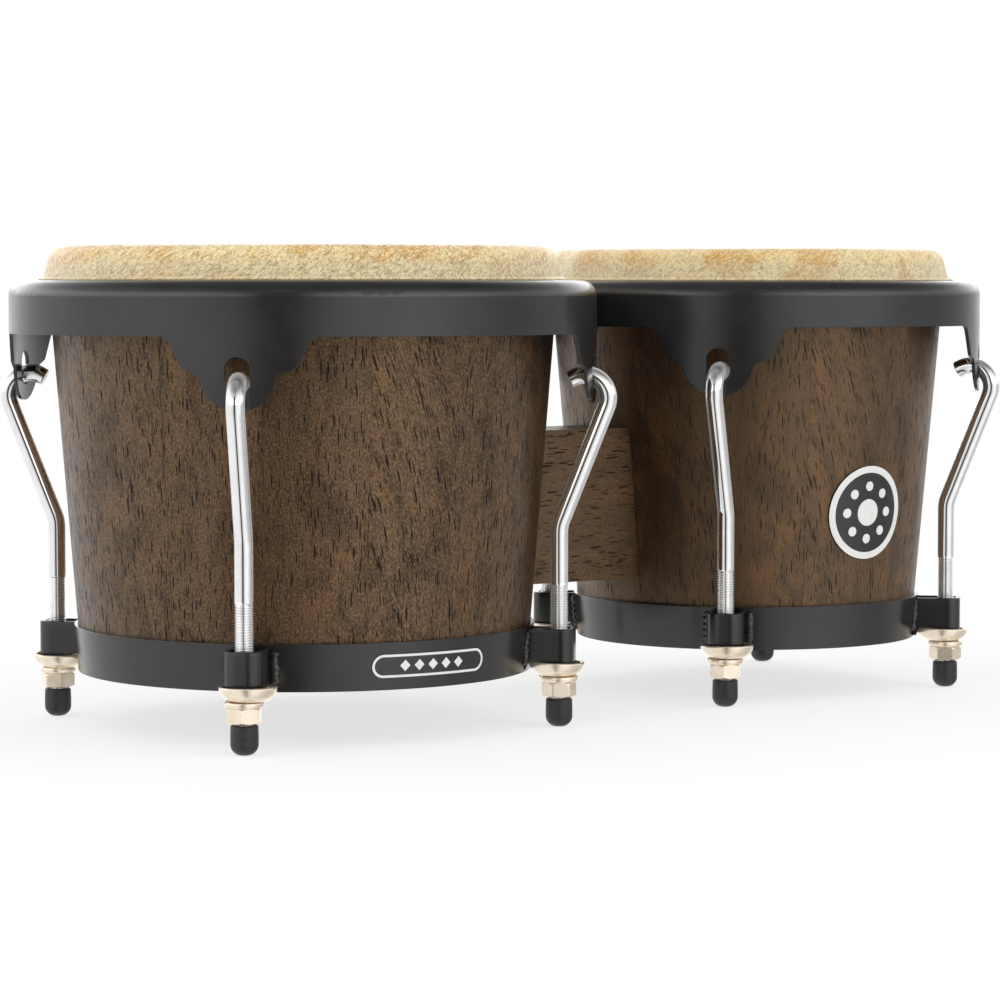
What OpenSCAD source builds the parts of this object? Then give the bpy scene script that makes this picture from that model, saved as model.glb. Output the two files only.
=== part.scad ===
// A pair of hand drums of unequal width, joined by a wooden block and tuned
// by hooked rods. Millimetres. X runs from the large drum to the small one,
// Z is up, and the ground is at z = 0 under the rubber caps.

/* [Drums] */
// Distance between the two drums' axes
centre_distance = 226.7; // [222:0.1:240]
// Height of both playing surfaces above the ground
head_height = 188.2; // [180:0.1:200]
// Outside diameter of the large shell at its top
large_top_d = 202.8; // [200:0.1:205]
// Outside diameter of the small shell at its top
small_top_d = 172; // [169:0.1:174]
// Large shell's loss of radius per 100 mm of height
large_taper = 8.05; // [6:0.01:9.5]
// Small shell's loss of radius per 100 mm of height
small_taper = 8.72; // [6:0.01:9.5]
// Number of staves in the large shell
large_staves = 15; // [12:1:18]
// Number of staves in the small shell
small_staves = 13; // [10:1:16]
// Thickness of the staves
stave_t = 10; // [8:0.5:11]
// Width of the glue line between two staves
glue_line = 0.1; // [0.05:0.01:0.3]

/* [Skins and hoops] */
// Thickness of the skins
skin_t = 1.5; // [1:0.1:2]
// Radial distance from a shell's top edge to the outside of its tuning hoop
hoop_reach = 14.3; // [14:0.05:15]
// Thickness of the tuning hoops' sheet steel
hoop_t = 1.4; // [1.2:0.1:2]
// Height of the flange's top above the ground
flange_z = 175; // [174:0.1:176]
// Height of the large band's lower edge above the ground
large_band_z = 154.4; // [153:0.1:156]
// Height of the small band's lower edge above the ground
small_band_z = 156.1; // [154:0.1:157]
// Radius of the bend between band and flange
hoop_bend = 6; // [4:0.5:6.5]
// Thickness of the wire in the flesh hoops
flesh_d = 6; // [5:0.1:6]
// Width of the slots in the hoop's ears
slot_w = 9.6; // [9:0.1:10.5]

/* [Tuning gear] */
// Diameter of the tuning rods
rod_d = 7; // [6.4:0.1:7.2]
// Distance from the rod's straight length out to the middle of the hoop's sheet
rod_inset = 12.9; // [12.6:0.1:13.1]
// Slope of the rod's upper length, in degrees from the vertical
rod_slope = 21.5; // [20:0.1:22]
// Radial clearance between rod and tuning nut
thread_gap = 0.05; // [0.02:0.01:0.1]
// Width across the flats of the tuning nuts
nut_af = 12; // [11:0.1:12.4]
// Height of the bottom rings
ring_h = 18; // [16:0.5:20]
// Thickness of the bottom rings
ring_t = 1.5; // [1.2:0.1:2]
// Width of the lugs
lug_w = 14.4; // [13.6:0.1:15]
// Height of the lugs' top above the ground
lug_top = 38.8; // [37:0.1:40]

/* [Centre block] */
// Width of the block across the pair
block_w = 35; // [30:1:40]
// Height of the block's underside above the ground
block_bottom = 50.7; // [48:0.1:54]
// Height of the block's top above the ground
block_top = 113.7; // [108:0.1:118]

/* [Badge and label] */
// Diameter of the badge
badge_d = 39; // [34:0.5:42]
// Direction of the badge around the small shell, in degrees
badge_angle = 271.5; // [262:0.5:282]
// Height of the badge's centre above the ground
badge_z = 78.5; // [74:0.5:84]
// Length of the label
label_l = 50; // [44:0.5:54]
// Height of the label
label_h = 8.7; // [8:0.1:10]
// Direction of the label around the large ring, in degrees
label_angle = 269.6; // [262:0.1:276]

/* [Hidden] */
$fn = 96;
gap = 0.05;
eps = 0.5;
air = 20;

ear_angles = [45, 135, 225, 315];
large_hoop_r = large_top_d / 2 + hoop_reach;
small_hoop_r = small_top_d / 2 + hoop_reach;
overall_l = large_hoop_r + centre_distance + small_hoop_r;
large_x = large_hoop_r - overall_l / 2;
small_x = large_x + centre_distance;

// Directions of one seam on each shell
large_seam = 228.5;
small_seam = 221.5;
// How far each hoop sits turned from its lugs, and how much higher its ears are set
large_hoop_turn = 0.6;
small_hoop_turn = -1.2;
large_ear_lift = 0;
small_ear_lift = 0.6;
// Where each drum's cup washers have settled off their rods: outwards, then round the drum
large_cup_shift = [[0, 0], [-1.1, 0], [0, 1.4], [-1.1, 0]];
small_cup_shift = [[0, 0], [-1.5, 0], [0, 0.65], [-1.5, 0]];

LARGE = [large_x, large_top_d / 2, large_taper / 100, large_hoop_r, large_staves, large_seam,
    large_hoop_turn, large_band_z, large_ear_lift, large_cup_shift];
SMALL = [small_x, small_top_d / 2, small_taper / 100, small_hoop_r, small_staves, small_seam,
    small_hoop_turn, small_band_z, small_ear_lift, small_cup_shift];
function axis_x(d) = d[0];
function top_r(d) = d[1];
function taper(d) = d[2];
function hoop_r(d) = d[3];
function staves(d) = d[4];
function seam(d) = d[5];
function hoop_turn(d) = d[6];
function band_z(d) = d[7];
function ear_lift(d) = d[8];
function cup_shift(d, index) = d[9][index];
function rod_r(d) = hoop_r(d) - hoop_t / 2 - rod_inset;

// Shell
shell_top = head_height - skin_t - gap;
ring_z = 22;
lip_t = 1.5;
lip_w = 7;
shell_bottom = ring_z + lip_t + gap;
function shell_r(d, z) = top_r(d) + taper(d) * (z - shell_top);

// Rounded bearing edge that carries the skin
edge_r = 4.5;
edge_inset = 7.2;
edge_slope = 15.7;
edge_z = shell_top - edge_r;
inner_round = 2;
skirt_bottom = 163;

// Tuning hoop and its ears
// How far the flange's inner edge stands outside the shell's top edge, and the skin inside that
flange_out = 3.6;
flange_gap = 0.7;
flesh_gap = 0.3;
ear_tip = 127.3;
ear_root_w = 27.5;
ear_root_fillet = 4;
ear_step_w = 21.4;
ear_step_z = 143;
ear_waist_w = 15;
ear_waist_z = 140.4;
ear_waist_drop = [3, 3.4];
lobe_r = 14.8;
ear_step_round = 2;
ear_waist_round = 1.5;
corner_steps = 6;
slot_top = 147.1;
slot_bottom = 133.3;

// Rod, in the upright plane through the drum's axis
hook_r = 9;
hook_du = 10.1;
hook_z = 129.2;
hook_turn = 118;
hook_tail = 1.6;
low_bend_r = 14;
rod_bottom = 2.6;
rod_lap = 0.3;
rod_step = 0.01;

// Rubber cap
cap_d = 10.6;
cap_h = 11.25;
cap_round = 4.2;

// Tuning nut, from the ground up
nut_bottom = 12;
flange_bottom = 17.7;
washer_bottom = 20;
nut_flange_d = 14.8;
nut_chamfer_run = 3.5;
nut_turns_large = [20, 4, 5, 15];
nut_turns_small = [12, 33, 1, 4];

// Cup washer
washer_t = 1.5;
cup_base_d = 14.8;
cup_rim_d = 22;
cup_top = 25.45;
cup_bore_d = 10.4;
cup_heel = [1.8, 1.4];
cup_belly = [0.8, 2.5];
cup_roll = 0.5;

// Lug
lug_t = 2;
lug_nose = 6.3;
lug_corner = 5;
lug_cut_z = cup_top + gap;
lug_nose_z = 24.7;
lug_foot_z = 22.6;
cup_nose_r = 8.8;
bead_r = 1.9;
bead_out = 1.3;
bead_end = 0.8;
bead_bottom = 25.2;
bead_top = 38;

// Block fixings
bolt_r = 3.95;
bolt_hole_r = 4.3;
bolt_zs = [66, 98];
bolt_head_af = 13;
bolt_head_h = 5.3;
bolt_nut_h = 6.5;
bolt_end = 3;
block_washer_r = 8;
block_washer_t = 1.6;
spot_r = 9.2;
spot_depth = 1.3;

// Badge and label layers
plate_t = 0.8;
print_t = 0.15;
layer_gap = 0.02;
badge_rim_w = 2.8;
disc_r = 5.6;
dot_r = 2;
dot_out = 11;
dots = 8;
label_line = 0.9;
diamond = 2.1;
diamond_pitch = 6;
label_mid_z = 31.1;

// Colours
shell_wood = [0.30, 0.22, 0.17];
block_wood = [0.36, 0.25, 0.18];
hide = [0.85, 0.76, 0.58];
black_paint = [0.13, 0.13, 0.13];
chrome = [0.85, 0.85, 0.86];
nickel = [0.85, 0.77, 0.68];
wire = [0.55, 0.55, 0.56];
zinc = [0.70, 0.70, 0.72];
rubber = [0.08, 0.08, 0.08];
black_enamel = [0.05, 0.05, 0.05];
white_enamel = [0.92, 0.92, 0.92];

// ---------- helpers ----------

module at_drum(d) {
    translate([axis_x(d), 0, 0]) children();
}

// Stands children on a rod's axis, with X pointing outwards
module at_rod(d, angle) {
    at_drum(d) rotate([0, 0, angle]) translate([rod_r(d), 0, 0]) children();
}

// Turns a flat drawing (across, up) to face outwards at an angle, as a prism
module outward(d, angle, from_r, to_r) {
    at_drum(d) rotate([0, 0, angle]) translate([from_r, 0, 0]) rotate([90, 0, 90])
        linear_extrude(height = to_r - from_r) children();
}

module tube(outer, inner, h) {
    difference() {
        cylinder(r = outer, h = h);
        translate([0, 0, -eps]) cylinder(r = inner, h = h + 2 * eps);
    }
}

module hex_prism(af, h) {
    cylinder(r = af / sqrt(3), h = h, $fn = 6);
}

// ---------- shells ----------

function edge_x(d) = top_r(d) - edge_inset;

// Half section of everything inside the bearing edge grown by a thickness
module edge_section(d, grow, bottom, bottom_r) {
    r = edge_r + grow;
    sx = edge_x(d) + r * cos(edge_slope);
    sz = edge_z + r * sin(edge_slope);
    lx = bottom_r;
    lz = sz - (bottom_r - sx) / tan(edge_slope);
    polygon([[0, bottom], [lx, bottom], [lx, lz], [sx, sz],
        [edge_x(d), edge_z], [edge_x(d), edge_z + r], [0, edge_z + r]]);
    translate([edge_x(d), edge_z]) circle(r = r);
}

module stave_section(d) {
    difference() {
        intersection() {
            edge_section(d, 0, shell_bottom - air, top_r(d));
            polygon([[shell_r(d, shell_bottom) - stave_t, shell_bottom],
                [shell_r(d, shell_bottom), shell_bottom],
                [shell_r(d, shell_top + eps), shell_top + eps],
                [shell_r(d, shell_top + eps) - stave_t, shell_top + eps]]);
        }
        translate([shell_r(d, shell_top) - stave_t - eps, shell_top - inner_round])
            polygon([[0, 0], [eps, 0], [eps + inner_round, inner_round],
                [eps + inner_round, inner_round + eps], [0, inner_round + eps]]);
    }
}

module bolt_holes(r) {
    for (z = bolt_zs)
        translate([axis_x(LARGE), 0, z]) rotate([0, 90, 0]) cylinder(r = r, h = centre_distance);
}

// Plane inside a shell on which a block bolt's washer sits
function seat_large(z) = axis_x(LARGE) + shell_r(LARGE, z) - stave_t + spot_depth;
function seat_small(z) = axis_x(SMALL) - shell_r(SMALL, z) + stave_t - spot_depth;

module shell(d) {
    step = 360 / staves(d);
    line_angle = glue_line / top_r(d) * 180 / PI;
    difference() {
        at_drum(d)
            for (i = [0 : staves(d) - 1])
                rotate([0, 0, seam(d) + i * step + line_angle / 2])
                    rotate_extrude(angle = step - line_angle) stave_section(d);
        bolt_holes(bolt_hole_r);
        for (z = bolt_zs) {
            translate([axis_x(LARGE), 0, z]) rotate([0, 90, 0])
                cylinder(r = spot_r, h = seat_large(z) - axis_x(LARGE));
            translate([seat_small(z), 0, z]) rotate([0, 90, 0])
                cylinder(r = spot_r, h = axis_x(SMALL) - seat_small(z));
        }
    }
}
module shell_large() { color(shell_wood) shell(LARGE); }
module shell_small() { color(shell_wood) shell(SMALL); }

// ---------- skins ----------

module skin(d) {
    skirt_r = top_r(d) + flange_out - flange_gap;
    at_drum(d) rotate_extrude() difference() {
        edge_section(d, gap + skin_t, skirt_bottom, skirt_r);
        edge_section(d, gap, skirt_bottom - eps, skirt_r - skin_t);
    }
}
module skin_large() { color(hide) skin(LARGE); }
module skin_small() { color(hide) skin(SMALL); }

// ---------- hoops ----------

module flesh_hoop(d) {
    r = flesh_d / 2;
    inner = top_r(d) + flange_out - flange_gap + flesh_gap;
    at_drum(d) rotate_extrude()
        translate([inner + r, flange_z - hoop_t - skin_t - r]) circle(r = r);
}
module flesh_hoop_large() { color(wire) flesh_hoop(LARGE); }
module flesh_hoop_small() { color(wire) flesh_hoop(SMALL); }

module hoop_section(d) {
    out = hoop_r(d);
    inner = top_r(d) + flange_out;
    bend_z = flange_z - hoop_bend;
    translate([out - hoop_t, ear_tip - eps]) square([hoop_t, bend_z - ear_tip + eps]);
    translate([out - hoop_bend, bend_z]) intersection() {
        difference() {
            circle(r = hoop_bend);
            circle(r = hoop_bend - hoop_t);
        }
        square(hoop_bend + eps);
    }
    translate([inner + hoop_t / 2, flange_z - hoop_t])
        square([out - hoop_bend - inner - hoop_t / 2, hoop_t]);
    translate([inner + hoop_t / 2, flange_z - hoop_t / 2]) circle(r = hoop_t / 2);
}

// Points of the arc that rounds the corner at p between a and b
function unit(v) = v / norm(v);
function corner(a, p, b, r) =
    let (u = unit(a - p), v = unit(b - p), h = acos(u * v) / 2,
        c = p + unit(u + v) * r / sin(h),
        from = p + u * r / tan(h) - c, to = p + v * r / tan(h) - c,
        a0 = atan2(from[1], from[0]), turn = atan2(to[1], to[0]) - a0,
        sweep = turn > 180 ? turn - 360 : turn < -180 ? turn + 360 : turn)
    [for (i = [0 : corner_steps])
        c + r * [cos(a0 + sweep * i / corner_steps), sin(a0 + sweep * i / corner_steps)]];

// Ear outline: a stepped shoulder above a round lobe, hanging from the band's edge
module ear_outline(edge_z) {
    side = [ear_root_w + hoop_reach, edge_z];
    root = [ear_root_w, edge_z];
    step = [ear_step_w, ear_step_z];
    waist = [ear_waist_w, ear_waist_z];
    inner = waist - ear_waist_drop;
    fillet = corner(side, root, step, ear_root_fillet);
    right = concat([[fillet[0][0], edge_z + eps]], fillet,
        corner(root, step, waist, ear_step_round), corner(step, waist, inner, ear_waist_round),
        [inner]);
    n = len(right) - 1;
    polygon(concat(right, [for (i = [n : -1 : 0]) [-right[i][0], right[i][1]]]));
    translate([0, ear_tip + lobe_r]) circle(r = lobe_r);
}

module slot_outline() {
    r = slot_w / 2;
    translate([0, slot_top - r]) circle(r = r);
    translate([0, slot_bottom + r]) circle(r = r);
    translate([-r, slot_bottom + r]) square([slot_w, slot_top - slot_bottom - slot_w]);
}

module tuning_hoop(d) {
    near = hoop_r(d) - air / 2;
    far = hoop_r(d) + air / 2;
    lift = ear_lift(d);
    difference() {
        at_drum(d) rotate_extrude() hoop_section(d);
        difference() {
            at_drum(d) translate([0, 0, ear_tip - 2 * eps])
                tube(far, near, band_z(d) - ear_tip + 2 * eps);
            for (a = ear_angles) outward(d, a, near - air, far + air)
                translate([0, lift]) ear_outline(band_z(d) - lift);
        }
        for (a = ear_angles) outward(d, a, near, far) translate([0, lift]) slot_outline();
    }
}
module turned_hoop(d) {
    at_drum(d) rotate([0, 0, hoop_turn(d)]) translate([-axis_x(d), 0, 0]) tuning_hoop(d);
}
module tuning_hoop_large() { color(black_paint) turned_hoop(LARGE); }
module tuning_hoop_small() { color(black_paint) turned_hoop(SMALL); }

// ---------- bottom rings and lugs ----------

function ring_out(d, z) = shell_r(d, z) + gap + ring_t;

module bottom_ring(d) {
    top = ring_z + ring_h;
    lip_r = shell_r(d, ring_z) - lip_w;
    at_drum(d) rotate_extrude() polygon([[lip_r, ring_z], [ring_out(d, ring_z), ring_z],
        [ring_out(d, top), top], [ring_out(d, top) - ring_t, top],
        [ring_out(d, ring_z + lip_t) - ring_t, ring_z + lip_t], [lip_r, ring_z + lip_t]]);
}
module bottom_ring_large() { color(black_paint) bottom_ring(LARGE); }
module bottom_ring_small() { color(black_paint) bottom_ring(SMALL); }

// Plan of a U-shaped strap whose nose has two round corners
module strap_plan(w, nose, corner, tail) {
    translate([-tail, -w / 2]) square([tail + nose - corner, w]);
    translate([-tail, corner - w / 2]) square([tail + nose, w - 2 * corner]);
    for (s = [-1, 1]) translate([nose - corner, s * (w / 2 - corner)]) circle(r = corner);
}

module lug(d, index) {
    angle = ear_angles[index];
    tail = rod_r(d) - ring_out(d, lug_foot_z) + 2;
    difference() {
        union() {
            at_rod(d, angle) translate([0, 0, lug_foot_z])
                linear_extrude(height = lug_top - lug_foot_z) difference() {
                    strap_plan(lug_w, lug_nose, lug_corner, tail);
                    strap_plan(lug_w - 2 * lug_t, lug_nose - lug_t, lug_corner - lug_t, tail + eps);
                }
            for (s = [-1, 1])
                at_rod(d, angle)
                    translate([ring_out(d, bead_top) - rod_r(d), s * (lug_w / 2 + bead_out), bead_bottom])
                        weld_bead();
        }
        at_rod(d, angle) translate(cup_shift(d, index)) translate([0, 0, lug_foot_z - eps]) {
            tube(cup_rim_d / 2 + 2 * gap, cup_nose_r, lug_cut_z - lug_foot_z + eps);
            cylinder(r = cup_nose_r + gap, h = lug_nose_z - lug_foot_z + eps);
        }
        at_drum(d) rotate_extrude() polygon([[0, ring_z - air],
            [ring_out(d, ring_z - air) + layer_gap, ring_z - air],
            [ring_out(d, lug_top + air) + layer_gap, lug_top + air], [0, lug_top + air]]);
    }
}

module weld_bead() {
    h = bead_top - bead_bottom;
    rotate_extrude() polygon([[0, 0], [bead_r - bead_end, 0], [bead_r, bead_end],
        [bead_r, h - bead_end], [bead_r - bead_end, h], [0, h]]);
}

module lugs(d) { for (i = [0 : 3]) lug(d, i); }
module lugs_large() { color(black_paint) lugs(LARGE); }
module lugs_small() { color(black_paint) lugs(SMALL); }

// ---------- tuning rods ----------

// Everything here lies in the X Z plane of the rod, with X outwards
module rod_arc(cx, cz, r, from, to) {
    translate([cx, 0, cz]) rotate([90, 0, 0]) rotate([0, 0, from])
        rotate_extrude(angle = to - from) translate([r, 0]) circle(r = rod_d / 2);
}

// A straight length that starts and ends a little way inside the bends beside it
module rod_length(u, z, tilt, length, before, after) {
    translate([u, 0, z]) rotate([0, tilt, 0]) translate([0, 0, -before])
        cylinder(r = rod_d / 2 - rod_step, h = length + before + after);
}

// How far a rod is turned about its straight length so that its hook meets the turned ear
function rod_twist(d) = asin((hoop_r(d) - hoop_t / 2) * sin(hoop_turn(d)) / rod_inset);

module tuning_rod(d, index) {
    top_z = hook_z + ear_lift(d);
    start_u = hook_du + hook_r * cos(rod_slope);
    start_z = top_z - hook_r * sin(rod_slope);
    knee_z = start_z - start_u / tan(rod_slope);
    run = low_bend_r * tan(rod_slope / 2);
    slant = norm([start_u, start_z - knee_z]) - run;
    end_u = hook_du + hook_r * cos(hook_turn);
    end_z = top_z + hook_r * sin(hook_turn);
    at_rod(d, ear_angles[index]) rotate([0, 0, rod_twist(d)]) {
        rod_length(0, rod_bottom, 0, knee_z - run - rod_bottom, 0, rod_lap);
        rod_arc(low_bend_r, knee_z - run, low_bend_r, 180 - rod_slope, 180);
        rod_length(run * sin(rod_slope), knee_z + run * cos(rod_slope), rod_slope, slant,
            rod_lap, rod_lap);
        rod_arc(hook_du, top_z, hook_r, -rod_slope, hook_turn);
        rod_length(end_u, end_z, -hook_turn, hook_tail, rod_lap, 0);
    }
}
module rod_large_1() { color(chrome) tuning_rod(LARGE, 0); }
module rod_large_2() { color(chrome) tuning_rod(LARGE, 1); }
module rod_large_3() { color(chrome) tuning_rod(LARGE, 2); }
module rod_large_4() { color(chrome) tuning_rod(LARGE, 3); }
module rod_small_1() { color(chrome) tuning_rod(SMALL, 0); }
module rod_small_2() { color(chrome) tuning_rod(SMALL, 1); }
module rod_small_3() { color(chrome) tuning_rod(SMALL, 2); }
module rod_small_4() { color(chrome) tuning_rod(SMALL, 3); }

// ---------- caps, nuts and cup washers ----------

module rod_caps(d) {
    for (a = ear_angles) at_rod(d, a) difference() {
        rotate_extrude() {
            translate([0, cap_round]) square([cap_d / 2, cap_h - cap_round]);
            square([cap_d / 2 - cap_round, cap_round + eps]);
            intersection() {
                translate([cap_d / 2 - cap_round, cap_round]) circle(r = cap_round);
                square([cap_d / 2, cap_round]);
            }
        }
        translate([0, 0, rod_bottom - layer_gap]) cylinder(r = rod_d / 2 + layer_gap, h = cap_h);
    }
}
module rod_caps_large() { color(rubber) rod_caps(LARGE); }
module rod_caps_small() { color(rubber) rod_caps(SMALL); }

module tuning_nut(d, index, turn) {
    hex_h = flange_bottom - nut_bottom;
    at_rod(d, ear_angles[index]) difference() {
        union() {
            intersection() {
                translate([0, 0, nut_bottom]) rotate([0, 0, turn]) hex_prism(nut_af, hex_h + eps);
                translate([0, 0, nut_bottom])
                    cylinder(r1 = nut_af / 2, r2 = nut_af / 2 + nut_chamfer_run * hex_h, h = 2 * hex_h);
            }
            translate([0, 0, flange_bottom])
                cylinder(d = nut_flange_d, h = washer_bottom - flange_bottom - gap);
        }
        translate([0, 0, nut_bottom - eps])
            cylinder(r = rod_d / 2 + thread_gap, h = washer_bottom - nut_bottom + 2 * eps);
    }
}
module nut_large_1() { color(nickel) tuning_nut(LARGE, 0, nut_turns_large[0]); }
module nut_large_2() { color(nickel) tuning_nut(LARGE, 1, nut_turns_large[1]); }
module nut_large_3() { color(nickel) tuning_nut(LARGE, 2, nut_turns_large[2]); }
module nut_large_4() { color(nickel) tuning_nut(LARGE, 3, nut_turns_large[3]); }
module nut_small_1() { color(nickel) tuning_nut(SMALL, 0, nut_turns_small[0]); }
module nut_small_2() { color(nickel) tuning_nut(SMALL, 1, nut_turns_small[1]); }
module nut_small_3() { color(nickel) tuning_nut(SMALL, 2, nut_turns_small[2]); }
module nut_small_4() { color(nickel) tuning_nut(SMALL, 3, nut_turns_small[3]); }

// A pressed bowl: flat floor with a wide hole, rounding up to a rolled rim
module cup_washers(d) {
    bore_r = cup_bore_d / 2;
    base_r = cup_base_d / 2;
    rim_r = cup_rim_d / 2;
    floor_z = washer_bottom + washer_t;
    for (i = [0 : 3]) at_rod(d, ear_angles[i]) translate(cup_shift(d, i)) rotate_extrude()
        polygon([[bore_r, washer_bottom], [base_r, washer_bottom],
            [base_r + cup_heel[0], washer_bottom + cup_heel[1]],
            [rim_r - cup_belly[0], washer_bottom + cup_belly[1]],
            [rim_r - cup_roll / 4, cup_top - 3 * cup_roll], [rim_r, cup_top - cup_roll],
            [rim_r - cup_roll, cup_top], [rim_r - washer_t, cup_top],
            [rim_r - washer_t - cup_roll / 2, cup_top - 3 * cup_roll],
            [base_r, floor_z], [bore_r, floor_z]]);
}
module cup_washers_large() { color(nickel) cup_washers(LARGE); }
module cup_washers_small() { color(nickel) cup_washers(SMALL); }

// ---------- centre block and its fixings ----------

module shell_cutter(d) {
    low = block_bottom - air;
    high = block_top + air;
    at_drum(d) translate([0, 0, low])
        cylinder(r1 = shell_r(d, low) + gap, r2 = shell_r(d, high) + gap, h = high - low);
}

module centre_block() {
    h = block_top - block_bottom;
    color(block_wood) difference() {
        translate([axis_x(LARGE), -block_w / 2, block_bottom]) cube([centre_distance, block_w, h]);
        shell_cutter(LARGE);
        shell_cutter(SMALL);
        bolt_holes(bolt_hole_r);
    }
}

module block_bolts() {
    color(zinc) for (z = bolt_zs) {
        head_x = seat_large(z) - block_washer_t - 2 * layer_gap;
        tip_x = seat_small(z) + block_washer_t + bolt_nut_h + bolt_end;
        translate([head_x, 0, z]) rotate([0, 90, 0]) cylinder(r = bolt_r, h = tip_x - head_x);
        translate([head_x - bolt_head_h, 0, z]) rotate([0, 90, 0])
            hex_prism(bolt_head_af, bolt_head_h);
    }
}

module block_washers() {
    color(zinc) for (z = bolt_zs)
        for (x = [seat_large(z) - block_washer_t - layer_gap, seat_small(z) + layer_gap])
            translate([x, 0, z]) rotate([0, 90, 0]) tube(block_washer_r, bolt_hole_r, block_washer_t);
}

module block_nuts() {
    color(zinc) for (z = bolt_zs)
        translate([seat_small(z) + block_washer_t + 2 * layer_gap, 0, z]) rotate([0, 90, 0])
            difference() {
                hex_prism(bolt_head_af, bolt_nut_h);
                translate([0, 0, -eps]) cylinder(r = bolt_r + thread_gap, h = bolt_nut_h + 2 * eps);
            }
}

// ---------- badge and label ----------

// A thin coat over a shell between two distances from it, for a quarter turn
module coat(d, angle, low, high, inner, outer) {
    at_drum(d) rotate([0, 0, angle - 45]) rotate_extrude(angle = 90)
        polygon([[shell_r(d, low) + inner, low], [shell_r(d, low) + outer, low],
            [shell_r(d, high) + outer, high], [shell_r(d, high) + inner, high]]);
}

module badge_layer(inner, outer) {
    intersection() {
        coat(SMALL, badge_angle, badge_z - badge_d, badge_z + badge_d, inner, outer);
        outward(SMALL, badge_angle, air, hoop_r(SMALL)) translate([0, badge_z]) children();
    }
}

module badge_plate() {
    color(black_enamel) badge_layer(layer_gap, plate_t) circle(d = badge_d);
}

module badge_print() {
    color(white_enamel) badge_layer(plate_t + layer_gap, plate_t + print_t) {
        difference() {
            circle(d = badge_d);
            circle(d = badge_d - 2 * badge_rim_w);
        }
        circle(r = disc_r);
        for (i = [0 : dots - 1]) rotate(i * 360 / dots) translate([dot_out, 0]) circle(r = dot_r);
    }
}

module obround(l, h) {
    square([l - h, h], center = true);
    for (s = [-1, 1]) translate([s * (l - h) / 2, 0]) circle(d = h);
}

module label_layer(inner, outer) {
    base = gap + ring_t;
    intersection() {
        coat(LARGE, label_angle, ring_z - eps, ring_z + ring_h + eps, base + inner, base + outer);
        outward(LARGE, label_angle, air, hoop_r(LARGE)) translate([0, label_mid_z]) children();
    }
}

module label_plate() {
    color(black_enamel) label_layer(layer_gap, plate_t / 2) obround(label_l, label_h);
}

module label_print() {
    in_l = label_l - 2 * label_line;
    in_h = label_h - 2 * label_line;
    color(white_enamel) label_layer(plate_t / 2 + layer_gap, plate_t / 2 + print_t) {
        difference() {
            obround(label_l, label_h);
            obround(in_l, in_h);
        }
        for (i = [-2 : 2]) translate([i * diamond_pitch, 0])
            polygon([[-diamond, 0], [0, -diamond], [diamond, 0], [0, diamond]]);
    }
}

shell_large();
shell_small();
skin_large();
skin_small();
flesh_hoop_large();
flesh_hoop_small();
tuning_hoop_large();
tuning_hoop_small();
bottom_ring_large();
bottom_ring_small();
lugs_large();
lugs_small();
rod_large_1();
rod_large_2();
rod_large_3();
rod_large_4();
rod_small_1();
rod_small_2();
rod_small_3();
rod_small_4();
cup_washers_large();
cup_washers_small();
nut_large_1();
nut_large_2();
nut_large_3();
nut_large_4();
nut_small_1();
nut_small_2();
nut_small_3();
nut_small_4();
rod_caps_large();
rod_caps_small();
centre_block();
block_bolts();
block_washers();
block_nuts();
badge_plate();
badge_print();
label_plate();
label_print();
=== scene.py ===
import math

import bmesh
import bpy
from mathutils import Matrix, Vector, noise

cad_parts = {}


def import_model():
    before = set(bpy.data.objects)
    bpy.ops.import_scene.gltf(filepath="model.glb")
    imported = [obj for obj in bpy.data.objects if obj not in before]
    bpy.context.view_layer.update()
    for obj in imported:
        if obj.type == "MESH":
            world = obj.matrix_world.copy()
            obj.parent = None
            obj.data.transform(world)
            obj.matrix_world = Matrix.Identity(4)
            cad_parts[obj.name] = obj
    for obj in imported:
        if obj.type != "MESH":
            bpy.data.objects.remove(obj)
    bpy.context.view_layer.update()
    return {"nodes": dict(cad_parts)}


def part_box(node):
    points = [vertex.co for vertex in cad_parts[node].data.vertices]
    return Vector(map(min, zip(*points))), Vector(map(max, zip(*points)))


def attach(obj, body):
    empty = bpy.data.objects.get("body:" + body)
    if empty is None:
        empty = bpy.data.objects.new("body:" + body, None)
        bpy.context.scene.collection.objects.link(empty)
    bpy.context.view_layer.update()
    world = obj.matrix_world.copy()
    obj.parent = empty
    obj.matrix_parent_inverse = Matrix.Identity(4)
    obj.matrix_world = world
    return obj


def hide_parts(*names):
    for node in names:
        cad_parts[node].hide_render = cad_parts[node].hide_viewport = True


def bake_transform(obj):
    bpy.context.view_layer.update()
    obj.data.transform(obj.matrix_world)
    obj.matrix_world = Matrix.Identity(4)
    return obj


# A pair of hand drums joined by a block. Lengths here are in millimetres
# unless a name says otherwise, and become metres as each mesh is made.
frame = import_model()
nodes = frame["nodes"]
MM = 0.001
ROOT = "frame"


# ---------- where things are, from the CAD ----------

def box(node):
    low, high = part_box(node)
    return low / MM, high / MM


def near_points(node, centre, reach, low=-1e9):
    """A CAD piece's points above a height and within reach of an upright line."""
    points = [v.co / MM for v in nodes[node].data.vertices]
    return [p for p in points
            if p.z > low and math.hypot(p.x - centre.x, p.y - centre.y) < reach]


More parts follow.
